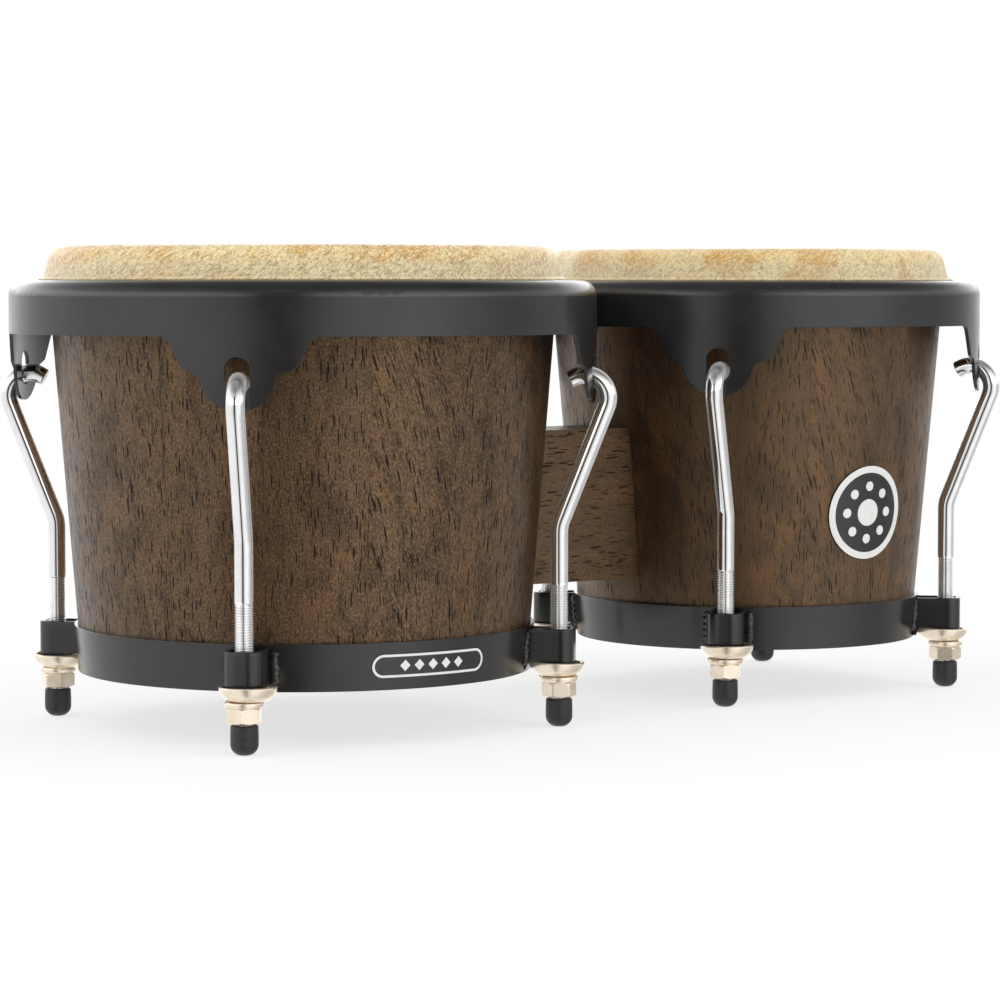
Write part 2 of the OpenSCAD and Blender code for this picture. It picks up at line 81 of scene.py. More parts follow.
class Drum:
    """One drum's main sizes, read from its CAD pieces."""

    SKIRT_OUT = 2.9
    RING_WALL = 1.55

    def __init__(self, size, staves, seam, rich):
        self.size, self.staves, self.seam, self.rich = size, staves, seam, rich
        self.hoop_set = size + "_hoop_set"
        low, high = box("tuning_hoop_" + size)
        self.x = (low.x + high.x) / 2
        self.flange_z = high.z
        low, high = box("skin_" + size)
        self.top_r = (high.y - low.y) / 2 - self.SKIRT_OUT
        self.head_z, self.skirt_z = high.z, low.z
        self.shell_z = box("shell_" + size)[1].z
        low, high = box("bottom_ring_" + size)
        ring_r = (high.y - low.y) / 2 - self.RING_WALL
        self.taper = (self.top_r - ring_r) / (self.shell_z - high.z)
        low, high = box(f"nut_{size}_1")
        spot = (low + high) / 2 - Vector((self.x, 0, 0))
        self.rod_r = math.hypot(spot.x, spot.y)

    def shell_r(self, z):
        return self.top_r + self.taper * (z - self.shell_z)

    def ring_out(self, z):
        return self.shell_r(z) + self.RING_WALL

    def rod_angle(self, index):
        return math.radians(45 + 90 * (index - 1))

    def rod_place(self, index):
        """Matrix that stands a piece on a rod's axis with X outwards."""
        return (self.place() @ Matrix.Rotation(self.rod_angle(index), 4, "Z")
                @ Matrix.Translation((self.rod_r, 0, 0)))

    def place(self):
        return Matrix.Translation((self.x, 0, 0))

    def cup_shift(self, index):
        """How far a cup washer lies off its rod's axis, as seen from rod_place."""
        here = self.rod_place(index)
        points = near_points("cup_washers_" + self.size, here.translation, 16)
        middle = Vector([(min(p[k] for p in points) + max(p[k] for p in points)) / 2
                         for k in range(3)])
        shift = here.inverted() @ middle
        return Vector((shift.x, shift.y, 0))

    def hook_twist(self, index):
        """How far a rod is turned about its own axis, from the middle of its hook."""
        here = self.rod_place(index)
        points = near_points(f"rod_{self.size}_{index}", here.translation, 40, 120)
        middle = here.inverted() @ (sum(points, Vector()) / len(points))
        return math.atan2(middle.y, middle.x)


LARGE = Drum("large", 15, 228.5, 1.0)
SMALL = Drum("small", 13, 221.5, 0.3)
DRUMS = (LARGE, SMALL)
RODS = (1, 2, 3, 4)


# ---------- meshes ----------

def piece(name, verts, faces, material, place=None, sharp=35):
    """A mesh object from points in millimetres, moved by place, with faces turned outwards."""
    mesh = bpy.data.meshes.new(name)
    mesh.from_pydata([Vector(v) for v in verts], [], faces)
    if place is not None:
        mesh.transform(place)
    mesh.transform(Matrix.Scale(MM, 4))
    bm = bmesh.new()
    bm.from_mesh(mesh)
    bmesh.ops.remove_doubles(bm, verts=bm.verts, dist=1e-7)
    bmesh.ops.recalc_face_normals(bm, faces=bm.faces)
    bm.to_mesh(mesh)
    bm.free()
    mesh.shade_smooth()
    mesh.set_sharp_from_angle(angle=math.radians(sharp))
    mesh.materials.append(material)
    obj = bpy.data.objects.new(name, mesh)
    bpy.context.scene.collection.objects.link(obj)
    return obj


def grid(rows, cols, wrap_rows=False, wrap_cols=True):
    """Quads over a rows by cols block of points."""
    faces = []
    for i in range(rows if wrap_rows else rows - 1):
        for j in range(cols if wrap_cols else cols - 1):
            a, b = i * cols, (i + 1) % rows * cols
            k = (j + 1) % cols
            faces.append((a + j, a + k, b + k, b + j))
    return faces


def lathe(section, turns, closed=True):
    """Points and quads of a half section (r, z) turned round the upright axis."""
    verts = []
    for r, z in section:
        for j in range(turns):
            a = 2 * math.pi * j / turns
            verts.append((r * math.cos(a), r * math.sin(a), z))
    return verts, grid(len(section), turns, wrap_rows=closed)


def arc(cx, cy, r, start, end, steps):
    """Points of an arc between two directions in degrees."""
    turn = [math.radians(start + (end - start) * i / steps) for i in range(steps + 1)]
    return [(cx + r * math.cos(t), cy + r * math.sin(t)) for t in turn]


def lines(points, step):
    """The same open outline with no length longer than step."""
    out = [points[0]]
    for a, b in zip(points, points[1:]):
        n = max(1, math.ceil(math.dist(a, b) / step))
        out += [tuple(p + (q - p) * i / n for p, q in zip(a, b)) for i in range(1, n + 1)]
    return out


def ripple(x, y, z, size, seed=0.0):
    """Smooth noise between about -1 and 1, with lumps about size across."""
    return noise.noise(Vector((x / size, y / size, z / size + seed)))


# ---------- material nodes ----------

def srgb(r, g, b):
    """A colour given in 0..255 screen values, as linear light."""
    def lin(c):
        c /= 255
        return c / 12.92 if c <= 0.04045 else ((c + 0.055) / 1.055) ** 2.4
    return (lin(r), lin(g), lin(b), 1.0)


class Tree:
    """Short calls for wiring nodes. A value is a number or another node's output."""

    def __init__(self, owner):
        owner.use_nodes = True
        self.nodes, self.links = owner.node_tree.nodes, owner.node_tree.links
        self.nodes.clear()

    def add(self, kind, values=None, out=0, **settings):
        node = self.nodes.new("ShaderNode" + kind)
        for key, value in settings.items():
            setattr(node, key, value)
        for key, value in (values or {}).items():
            socket = node.inputs[key]
            if isinstance(value, bpy.types.NodeSocket):
                self.links.new(value, socket)
            else:
                socket.default_value = value
        return node.outputs[out] if node.outputs else None

    def math(self, operation, *values):
        return self.add("Math", dict(enumerate(values)), operation=operation)

    def times(self, *values):
        """The product of all the values."""
        product = values[0]
        for value in values[1:]:
            product = self.math("MULTIPLY", product, value)
        return product

    def moved(self, vector, by):
        return self.add("VectorMath", {0: vector, 1: by})

    def parts(self, vector):
        """A vector's or colour's three numbers."""
        split = self.nodes.new("ShaderNodeSeparateXYZ")
        self.links.new(vector, split.inputs[0])
        return split.outputs[:3]

    def span(self, value, low, high, to_low=0.0, to_high=1.0):
        """Value eased from low..high to to_low..to_high, and held beyond them."""
        return self.add("MapRange", {"Value": value, "From Min": low, "From Max": high,
                                     "To Min": to_low, "To Max": to_high},
                        interpolation_type="SMOOTHSTEP")

    def mix(self, factor, a, b):
        return self.add("Mix", {0: factor, 6: a, 7: b}, out=2, data_type="RGBA")

    def vector(self, x, y, z):
        return self.add("CombineXYZ", {0: x, 1: y, 2: z})

    def scaled(self, vector, x, y, z):
        return self.add("VectorMath", {0: vector, 1: (x, y, z)}, operation="MULTIPLY")

    def noise(self, vector, scale=1.0, detail=2.0, rough=0.5, twist=0.0):
        return self.add("TexNoise", {"Vector": vector, "Scale": scale, "Detail": detail,
                                     "Roughness": rough, "Distortion": twist})

    def bump(self, height, depth, strength=1.0, normal=None):
        """Normal from a height 0..1 that stands for depth metres."""
        values = {"Height": height, "Distance": depth, "Strength": strength}
        if normal is not None:
            values["Normal"] = normal
        return self.add("Bump", values)

    def place(self):
        """The point on the object, in metres, as vector, x, y, z."""
        where = self.add("TexCoord", out=3)
        return where, *self.parts(where)

    def finish(self, **values):
        """Ends in a Principled surface with these inputs."""
        names = {key.replace("_", " ").title().replace("Ior", "IOR"): value
                 for key, value in values.items()}
        surface = self.add("BsdfPrincipled", names)
        self.add("OutputMaterial", {"Surface": surface})


def new_material(name):
    material = bpy.data.materials.new(name)
    return material, Tree(material)


# ---------- wood ----------

# How far apart in the noise the staves are cut
STAVE_APART = 3.71
# How much a stave's grain may lean, and how much more the first stave's does
STAVE_LEAN, FIRST_LEAN = 0.22, 0.3
# Height in metres over which the grain reaches its full lean
LEAN_RISE = 0.3
# The block's grain: its slope, its change through the block, and its place among staves
BLOCK_SLOPE, BLOCK_LAYERS, BLOCK_IDENT = 0.03, 9.0, 41.0
BLOCK_TONE, BLOCK_RICH = 0.45, 0.45
# Depth in metres of the open pores
PORE_DEPTH = 0.00012
WOOD_SHEEN = (1.0, 0.70, 0.45, 1.0)
WOOD_IOR = 1.75


def pores(t, grain, across, along, size, crowd, seed):
    """Short dark dashes along the grain, one at most in each across by along cell."""
    cells = t.scaled(t.moved(grain, (seed, seed * 0.7, seed)), across, along, 1)
    bend = t.noise(t.scaled(cells, 1.3, 1.3, 1), detail=1)
    cells = t.moved(cells, t.vector(t.times(bend, 0.5), 0.0, 0.0))
    away = t.add("TexVoronoi", {"Vector": cells, "Scale": 1.0, "Randomness": 1.0})
    pick = t.add("TexVoronoi", {"Vector": cells, "Scale": 1.0, "Randomness": 1.0}, out=1)
    chance = t.parts(pick)
    room = t.times(t.math("ADD", 0.45, t.times(chance[0], 0.75)), size)
    there = t.math("GREATER_THAN", crowd, chance[1])
    dash = t.span(t.math("SUBTRACT", room, away), -0.035, 0.045)
    return t.times(dash, there)


def wood_look(t, across, along, ident, tone, rich):
    """Stained open-pored wood. Across and along the grain in metres; ident sets a stave apart,
    and rich is how strongly its grain stands out."""
    seed = t.math("MULTIPLY", ident, STAVE_APART)
    grain = t.vector(across, along, seed)

    grit = t.noise(t.scaled(grain, 1500, 860, 1), detail=3, rough=0.72)
    fleck = t.noise(t.scaled(t.moved(grain, (0.4, 0.2, 3.0)), 1700, 900, 1),
                    detail=1, rough=0.6)
    fibre = t.noise(t.scaled(grain, 850, 45, 1), detail=3, rough=0.66)
    streak = t.noise(t.scaled(grain, 230, 9, 1), detail=2)
    smoke = t.noise(t.scaled(grain, 62, 34, 1), detail=4, rough=0.62, twist=0.9)
    glow = t.noise(t.scaled(t.moved(grain, (3.1, 1.7, 8.0)), 58, 22, 1),
                   detail=3, rough=0.6, twist=0.7)
    crowd = t.span(t.noise(t.scaled(grain, 52, 26, 1), detail=3, rough=0.6), 0.3, 0.56, 0.45, 1.0)
    wide = pores(t, grain, 740, 84, 0.25, crowd, 2.3)
    fine = pores(t, grain, 940, 110, 0.25, crowd, 5.9)
    thin = pores(t, grain, 1200, 170, 0.25, crowd, 9.1)
    pore = t.math("MAXIMUM", t.math("MAXIMUM", wide, t.times(fine, 0.85)),
                  t.times(thin, 0.75))

    colour = t.mix(t.span(streak, 0.3, 0.7), srgb(60, 43, 29), srgb(73, 54, 37))
    colour = t.mix(t.span(glow, 0.46, 0.66, 0, 0.65), colour, srgb(98, 66, 36))
    colour = t.mix(t.span(smoke, 0.46, 0.62, 0, 0.8), colour, srgb(40, 33, 29))
    colour = t.mix(t.span(fibre, 0.36, 0.62, 0.6 * rich, 0), colour, srgb(36, 26, 20))
    colour = t.mix(t.span(grit, 0.36, 0.52, 0.7 * rich, 0), colour, srgb(34, 25, 20))
    colour = t.mix(t.span(grit, 0.50, 0.66, 0, 0.5 * rich), colour, srgb(112, 86, 60))
    colour = t.mix(t.span(fleck, 0.60, 0.74, 0, 0.5 * rich), colour, srgb(146, 102, 58))
    colour = t.mix(t.times(pore, 0.55 + 0.35 * rich), colour, srgb(13, 13, 18))
    shade = t.span(tone, 0, 1, 0.84, 1.08)
    colour = t.add("VectorMath", {0: colour, "Scale": shade}, operation="SCALE")

    height = t.math("SUBTRACT", t.times(fibre, 0.35), pore)
    height = t.math("ADD", height, t.times(grit, 0.5))
    rough = t.math("ADD", t.span(fibre, 0.3, 0.7, 0.34, 0.42), t.times(pore, 0.4))
    # Only the sound surface takes a shine; pores and dark fibres stay matt
    sound = t.span(grit, 0.34, 0.62, 0.56 - 0.2 * rich, 0.56 + 0.16 * rich)
    closed = t.math("SUBTRACT", 1.0, t.times(pore, 0.35 + 0.4 * rich))
    gloss = t.times(sound, closed, t.span(smoke, 0.46, 0.64, 1.0, 1.0 - 0.35 * rich))
    return colour, rough, height, gloss


def finish_wood(t, colour, rough, height, gloss):
    """Satin lacquer that warms what it reflects head on."""
    t.finish(base_color=colour, roughness=rough, normal=t.bump(height, PORE_DEPTH, 0.6),
             ior=WOOD_IOR, specular_ior_level=gloss, specular_tint=WOOD_SHEEN)


def shell_wood(drum):
    """Upright staves, each with its own tone and lean of grain, and a faint glue line between."""
    material, t = new_material("walnut_staves_" + drum.size)
    _, x, y, z = t.place()
    step = 2 * math.pi / drum.staves
    angle = t.math("ARCTAN2", y, t.math("SUBTRACT", x, drum.x * MM))
    turn = t.math("DIVIDE", t.math("SUBTRACT", angle, math.radians(drum.seam)), step)
    stave = t.math("FLOORED_MODULO", t.math("FLOOR", turn), drum.staves)
    part = t.math("FRACT", turn)
    around = t.times(part, step * drum.top_r * MM)
    pick = t.add("TexWhiteNoise", {"W": t.math("ADD", stave, 0.5)}, out=1,
                 noise_dimensions="1D")
    tone, lean, _ = t.parts(pick)
    # The grain leans more towards the top of a stave, and most on the first
    first = t.math("COMPARE", stave, 1.0, 0.1)
    lean = t.math("SUBTRACT", t.times(t.math("SUBTRACT", lean, 0.5), STAVE_LEAN),
                  t.times(first, FIRST_LEAN))
    rise = t.math("DIVIDE", t.times(z, z), LEAN_RISE)
    across = t.math("SUBTRACT", around, t.times(lean, rise))
    colour, rough, height, gloss = wood_look(t, across, z, stave, tone, drum.rich)
    edge = t.math("MINIMUM", part, t.math("SUBTRACT", 1.0, part))
    seam = t.span(edge, 0.0, 0.008, 1, 0)
    colour = t.mix(t.times(seam, 0.14), colour, srgb(34, 26, 22))
    height = t.math("SUBTRACT", height, t.times(seam, 0.3))
    finish_wood(t, colour, rough, height, gloss)
    return material


def block_wood():
    """The same wood with its grain along the pair."""
    material, t = new_material("walnut_block")
    _, x, y, z = t.place()
    lean = t.times(x, BLOCK_SLOPE)
    layer = t.times(y, BLOCK_LAYERS)
    across = t.math("ADD", t.math("SUBTRACT", z, lean), layer)
    colour, rough, height, gloss = wood_look(t, across, x, BLOCK_IDENT, BLOCK_TONE, BLOCK_RICH)
    finish_wood(t, colour, rough, height, gloss)
    return material


# ---------- the other materials ----------

# Cosine and sine of the fibres' slant on a skin's side
SLANT_COS, SLANT_SIN = 0.77, 0.64


def strokes(t, where, side, on_side, along, thick, twist, seed):
    """Fibres that lie every way on top, and along a slanted line on the side."""
    line = t.scaled(t.moved(side, (seed, 0, seed)), along, thick, 1)
    slanted = t.noise(line, detail=2, rough=0.6, twist=twist)
    every = t.noise(where, (along + thick) / 2, detail=2, rough=0.6, twist=twist)
    return t.add("Mix", {0: on_side, 2: every, 3: slanted}, data_type="FLOAT")


def hide(drum):
    """Mottled rawhide with tangled fibres, rougher and greyer towards the hoop; its raised fibres
    and bumps carry painted highlight and its sunken strokes and pits painted shade.
    """
    material, t = new_material("rawhide_" + drum.size)
    where, x, y, z = t.place()
    down = t.math("SUBTRACT", drum.head_z * MM, z)
    rim = t.span(down, 0.0035, 0.009)
    marks = 0.45 + 0.55 * drum.rich

    around = t.times(t.math("ARCTAN2", y, t.math("SUBTRACT", x, drum.x * MM)),
                     drum.top_r * MM)
    slant = t.math("ADD", t.times(around, SLANT_COS), t.times(down, -SLANT_SIN))
    rise = t.math("ADD", t.times(around, SLANT_SIN), t.times(down, SLANT_COS))
    side = t.vector(slant, rise, 0.0)
    on_side = t.span(down, 0.001, 0.0035)

    blotch = t.noise(where, 26, detail=4, rough=0.6, twist=0.8)
    cloud = t.noise(where, 95, detail=3, rough=0.6, twist=1.2)
    dimple = t.noise(where, 700, detail=3, rough=0.62, twist=1.1)
    fibre = strokes(t, where, side, on_side, 420, 1500, 0.9, 0.0)
    cross = strokes(t, where, side, on_side, 380, 1150, 1.3, 4.0)
    glint_line_noise = t.noise(where, 260, detail=2, twist=2.6)
    painted_glint_lines = t.math("ABSOLUTE", t.math("SUBTRACT", glint_line_noise, 0.5))

    colour = t.mix(t.span(blotch, 0.42, 0.56), srgb(244, 220, 160), srgb(220, 166, 74))
    colour = t.mix(t.span(cloud, 0.48, 0.66, 0, 0.55), colour, srgb(200, 176, 122))
    # Painted shade: the low points of the dimple bumps are painted darker, more so towards the
    # hoop
    painted_pit_shade = t.span(dimple, 0.36, 0.5, 1, 0)
    colour = t.mix(t.times(painted_pit_shade, t.span(rim, 0, 1, 0.3, 0.85)), colour, srgb(150, 122, 72))
    # Painted highlight: the raised fibres are painted pale cream
    colour = t.mix(t.span(fibre, 0.48, 0.60, 0, 0.9 * marks), colour, srgb(255, 240, 196))
    # Painted shade: the sunken cross strokes are painted dark brown, more so towards the hoop
    dark = t.times(t.span(cross, 0.50, 0.62, 0, marks), t.span(rim, 0, 1, 0.65, 0.85))
    colour = t.mix(dark, colour, srgb(156, 114, 52))
    # Painted highlight: the tops of the dimple bumps are painted pale
    colour = t.mix(t.span(dimple, 0.52, 0.66, 0, 0.5), colour, srgb(254, 236, 188))
    # Painted highlight: thin pinkish-white glint lines
    colour = t.mix(t.span(painted_glint_lines, 0.0, 0.014, 0.6, 0), colour, srgb(255, 240, 226))
    colour = t.mix(t.times(rim, 0.3), colour, srgb(222, 216, 188))
    height = t.math("ADD", t.times(fibre, 0.5), t.times(cross, -0.4))
    height = t.math("ADD", height, t.times(dimple, 1.1))
    t.finish(base_color=colour, roughness=t.span(cloud, 0.4, 0.7, 0.36, 0.5),
             normal=t.bump(height, 0.0006, 0.9), subsurface_weight=0.05,
             subsurface_radius=(0.004, 0.002, 0.001), subsurface_scale=0.3,
             coat_weight=0.1, coat_roughness=0.3)
    return material


def powder_coat():
    """Black satin powder coat: a fine orange peel and dust, with its edges rounded in the
    shading.
    """
    material, t = new_material("black_powder_coat")
    where = t.place()[0]
    peel = t.noise(where, 900, detail=2, rough=0.5)
    haze = t.noise(where, 40, detail=3, rough=0.6)
    fleck = t.noise(where, 2600, detail=1)
    colour = t.mix(t.span(haze, 0.35, 0.7), srgb(26, 25, 25), srgb(32, 31, 31))
    colour = t.mix(t.span(fleck, 0.7, 0.8, 0, 0.3), colour, srgb(80, 80, 80))
    rough = t.span(haze, 0.3, 0.7, 0.20, 0.26)
    round_edge = t.add("Bevel", {"Radius": 0.0006}, samples=4)
    t.finish(base_color=colour, roughness=rough, specular_ior_level=0.68,
             normal=t.bump(peel, 0.00004, 0.6, round_edge))
    return material


def metal(name, bright, dark, rough, shine=1.0, wave=0.00002):
    """Plated metal with faint polishing marks and a little tarnish."""
    material, t = new_material(name)
    where = t.place()[0]
    haze = t.noise(where, 160, detail=3, rough=0.6)
    marks = t.noise(where, 1800, detail=2)
    colour = t.mix(t.span(haze, 0.35, 0.75), bright, dark)
    t.finish(base_color=colour, metallic=shine,
             roughness=t.span(marks, 0.3, 0.7, rough * 0.95, rough * 1.05),
             normal=t.bump(haze, wave, 0.5))
    return material


def chrome():
    """Bright plating whose edges, turned from the viewer, go satin white as a painted reflection
    of the white studio.
    """
    material, t = new_material("chrome")
    where = t.place()[0]
    haze = t.noise(where, 160, detail=3, rough=0.6)
    # Painted reflection: towards the edges the plating loses metal and gains roughness, so it
    # shows white there
    edge = t.span(t.add("LayerWeight", {"Blend": 0.5}, out=1), 0.25, 0.75)
    colour = t.mix(t.span(haze, 0.35, 0.75), srgb(247, 247, 247), srgb(238, 238, 239))
    t.finish(base_color=colour, metallic=t.math("SUBTRACT", 1.0, t.times(edge, 0.6)),
             roughness=t.math("ADD", 0.06, t.times(edge, 0.22)),
             normal=t.bump(haze, 0.00002, 0.5))
    return material


def rubber():
    """Matt black rubber with a little dust."""
    material, t = new_material("black_rubber")
    where = t.place()[0]
    dust = t.noise(where, 500, detail=3, rough=0.65)
    fine = t.noise(where, 3000, detail=1)
    colour = t.mix(t.span(dust, 0.4, 0.75), srgb(30, 30, 31), srgb(46, 46, 46))
    t.finish(base_color=colour, roughness=t.span(dust, 0.3, 0.7, 0.42, 0.55),
             normal=t.bump(fine, 0.00003, 0.4))
    return material


def enamel(name, colour, worn, rough):
    """Glossy enamel, worn in patches."""
    material, t = new_material(name)
    where = t.place()[0]
    haze = t.noise(where, 130, detail=3, rough=0.6)
    ripple_height = t.noise(where, 350, detail=1)
    t.finish(base_color=t.mix(t.span(haze, 0.45, 0.8, 0, 0.5), colour, worn),
             roughness=t.span(haze, 0.3, 0.7, rough * 0.8, rough * 1.2),
             coat_weight=0.5, coat_roughness=0.1,
             normal=t.bump(ripple_height, 0.00003, 0.4))
    return material


WOOD = {drum.size: shell_wood(drum) for drum in DRUMS}
HIDE = {drum.size: hide(drum) for drum in DRUMS}
BLACK = powder_coat()
CHROME = chrome()
NICKEL = metal("warm_nickel", srgb(248, 235, 215), srgb(238, 221, 196), 0.24, 0.72, 0.00001)
WIRE = metal("wire", srgb(170, 170, 172), srgb(140, 138, 134), 0.35)
ZINC = metal("zinc", srgb(196, 197, 200), srgb(168, 168, 160), 0.32)
RUBBER = rubber()
ENAMEL_BLACK = enamel("black_enamel", srgb(20, 19, 20), srgb(34, 32, 32), 0.25)
ENAMEL_WHITE = enamel("white_enamel", srgb(232, 232, 230), srgb(214, 213, 208), 0.3)


# ---------- CAD pieces that keep their shape ----------

def dress(node, material):
    """Gives a CAD piece one material."""
    slots = nodes[node].data.materials
    slots.clear()
    slots.append(material)


def dress_cad():
    for drum in DRUMS:
        dress("shell_" + drum.size, WOOD[drum.size])
        dress("tuning_hoop_" + drum.size, BLACK)
        dress("bottom_ring_" + drum.size, BLACK)
        dress("flesh_hoop_" + drum.size, WIRE)
    dress("centre_block", block_wood())
    for node in ("block_bolts", "block_washers", "block_nuts"):
        dress(node, ZINC)
    for name in ("badge", "label"):
        dress(name + "_plate", ENAMEL_BLACK)
        dress(name + "_print", ENAMEL_WHITE)


# ---------- skins ----------

# The bearing edge under the skin, and the skin's own thickness
EDGE_INSET = 7.2
EDGE_R = 6.05
EDGE_SLOPE = 15.7
SKIN_T = 1.4
# The skin's lumps and puckers fade out below the upper of these heights
STRETCH_TOP, STRETCH_LOW = 173.5, 163.5
# Steps round a skin
ROUND = 288


def skin_section(drum):
    """Outer half section from the middle of the head down to the skirt."""
    edge_x, edge_z = drum.top_r - EDGE_INSET, drum.head_z - EDGE_R
    slope = math.tan(math.radians(EDGE_SLOPE))
    bend = arc(edge_x, edge_z, EDGE_R, 90, EDGE_SLOPE, 12)
    out = drum.top_r + drum.SKIRT_OUT
    meet_z = bend[-1][1] - (out - bend[-1][0]) / slope
    side = [bend[-1], (out - 0.35, meet_z + 0.9), (out, meet_z - 0.6), (out, drum.skirt_z)]
    top = [(0.0, drum.head_z), (edge_x, drum.head_z)]
    return lines(top, 2.5) + bend[1:] + lines(side, 1.2)[1:]


def skin(drum):
    """A head that sags and puckers a little, turned down over the shell's edge."""
    outer = skin_section(drum)
    inner = []
    for i, (r, z) in enumerate(outer):
        before, after = outer[max(0, i - 1)], outer[min(len(outer) - 1, i + 1)]
        dr, dz = after[0] - before[0], after[1] - before[1]
        size = math.hypot(dr, dz)
        inner.append((max(0.0, r + dz / size * SKIN_T), z - dr / size * SKIN_T))
    section = outer + inner[::-1]
    verts, faces = lathe(section, ROUND)
    moved = []
    for x, y, z in verts:
        r = math.hypot(x, y)
        a = math.atan2(y, x)
        on_side = min(1.0, max(0.0, (drum.head_z - 1 - z) / 4))
        deep = min(1.0, max(0.0, (z - STRETCH_TOP) / 2))
        seed = drum.top_r
        lump = 0.16 * ripple(x, y, z, 13, seed) + 0.07 * ripple(x, y, z, 4.5, seed)
        pucker = 0.10 * ripple(a * drum.top_r, 0, z / 3, 2.6, seed) * on_side
        push = (lump + pucker) * deep
        fade = min(1.0, r / 10)
        nx, ny = (x / r, y / r) if r > 0 else (0, 0)
        moved.append((x + nx * push * on_side, y + ny * push * on_side,
                      z + (lump * 0.9 - 0.05) * (1 - on_side) * fade))
    obj = piece("head_" + drum.size, moved, faces, HIDE[drum.size], drum.place(), sharp=60)
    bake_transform(obj)
    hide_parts("skin_" + drum.size)


def skin_edge(drum):
    """The hide's trimmed edge, a thin lip just above the flange."""
    low, high = drum.flange_z - 0.1, drum.flange_z + 0.75
    inner, outer = drum.top_r + 1.15, drum.top_r + 2.75
    mid = (low + high) / 2
    half = (high - low) / 2
    nose = arc(outer - half, mid, half, -80, 80, 6)
    section = ([(inner, low - 0.5)] + lines([(inner + 0.5, low - 0.3), nose[0]], 0.5) + nose[1:]
               + lines([nose[-1], (inner + 0.6, high + 0.1), (inner - 0.2, high + 0.7)], 0.5)[1:])
    verts, faces = lathe(section, ROUND)
    moved = []
    for x, y, z in verts:
        r, a = math.hypot(x, y), math.atan2(y, x)
        reach = (r - inner) / (outer - inner)
        grow = reach * (0.3 * ripple(a * 5, 0, 0, 1.0, drum.top_r)
                        + 0.15 * ripple(a * 26, 0, 0, 1.0, drum.top_r))
        lift = 0.12 * ripple(a * 12, 3, 0, 1.0, drum.top_r) * (z - low)
        k = (r + grow) / r
        moved.append((x * k, y * k, z + lift))
    obj = piece("head_edge_" + drum.size, moved, faces, HIDE[drum.size], drum.place(), sharp=50)
    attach(obj, drum.hoop_set)


# ---------- rods ----------

ROD_R = 3.5
ROD_SIDES = 32
HOOK_R = 9.0
PITCH = 1.0
THREAD_TOP = 56.8
THREAD_R = 3.6
THREAD_DEPTH = 0.62
# Below this height the crests are no wider than the plain rod, to clear the nut
THREAD_LOW = 25.6
# Rings of points in one turn of the thread
THREAD_STEPS = 7


def rod_path(hook_z):
    """Centre line of a rod in its upright plane, from the threaded end to the hook's tip."""
    slope, turn, hook_u, bend_r, tail = 21.5, 118.0, 10.1, 14.0, 1.6
    rad = math.radians(slope)
    start_u = hook_u + HOOK_R * math.cos(rad)
    start_z = hook_z - HOOK_R * math.sin(rad)
    knee_z = start_z - start_u / math.tan(rad)
    run = bend_r * math.tan(rad / 2)
    low = [(0, THREAD_TOP + 0.6), (0, knee_z - run)]
    knee = arc(bend_r, knee_z - run, bend_r, 180, 180 - slope, 10)
    hook = arc(hook_u, hook_z, HOOK_R, -slope, turn, 40)
    tip = hook[-1]
    t = math.radians(turn + 90)
    end = (tip[0] + tail * math.cos(t), tip[1] + tail * math.sin(t))
    slant = lines([knee[-1], hook[0]], 6)
    return lines(low, 6) + knee[1:] + slant[1:] + hook[1:] + [end]


def thread_radius(z, a):
    """Rod radius at a height and direction, on a single-start screw thread."""
    wave = abs(2 * ((z / PITCH - a / (2 * math.pi)) % 1) - 1)
    fade = min(1.0, max(0.0, (THREAD_TOP - z) / 1.2))
    crest = ROD_R + (THREAD_R - ROD_R) * fade * min(1.0, max(0.0, z - THREAD_LOW))
    return crest - THREAD_DEPTH * fade * min(1.0, max(0.0, 1.2 * wave - 0.1))


def circle(sides):
    """Evenly spaced directions, each with its cosine and sine."""
    turns = [2 * math.pi * j / sides for j in range(sides)]
    return [(a, math.cos(a), math.sin(a)) for a in turns]


def rod(drum, index):
    """A threaded end, two bends and a hook, in one ring of points after another."""
    low, high = box(f"rod_{drum.size}_{index}")
    hook_z = high.z - HOOK_R - ROD_R
    round_rod = circle(ROD_SIDES)
    rings = [[(r * c, r * s, low.z) for _, c, s in round_rod] for r in (0.0, 2.2)]
    # The threaded length, with a rounded lower end
    z = low.z
    while z < THREAD_TOP + 0.5:
        end = max(0.0, 0.8 - (z - low.z)) * 0.8
        ring = []
        for a, c, s in round_rod:
            r = thread_radius(z, a) - end
            ring.append((r * c, r * s, z))
        rings.append(ring)
        z += PITCH / THREAD_STEPS
    # The plain length, swept along the bends
    path = rod_path(hook_z)
    for i, (u, z) in enumerate(path):
        before, after = path[max(0, i - 1)], path[min(len(path) - 1, i + 1)]
        du, dz = after[0] - before[0], after[1] - before[1]
        size = math.hypot(du, dz)
        nu, nz = dz / size, -du / size
        rings.append([(u + ROD_R * c * nu, ROD_R * s, z + ROD_R * c * nz)
                      for _, c, s in round_rod])
    # The hook's cut end, with a small chamfer
    u, z = path[-1]
    for r, ahead in ((ROD_R - 0.25, 0.25), (ROD_R - 0.6, 0.4), (0.0, 0.42)):
        rings.append([(u + r * c * nu - nz * ahead, r * s, z + r * c * nz + nu * ahead)
                      for _, c, s in round_rod])
    twist = Matrix.Rotation(drum.hook_twist(index), 4, "Z")
    obj = piece(f"tuning_rod_{drum.size}_{index}", sum(rings, []),
                grid(len(rings), ROD_SIDES), CHROME, drum.rod_place(index) @ twist, sharp=32)
    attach(obj, drum.hoop_set)
    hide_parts(f"rod_{drum.size}_{index}")


# ---------- caps, nuts and cup washers ----------

CAP_R = 5.3
CAP_END_R = 4.2
CAP_HOLE_R = ROD_R + 0.03
CAP_HOLE_Z = 2.5


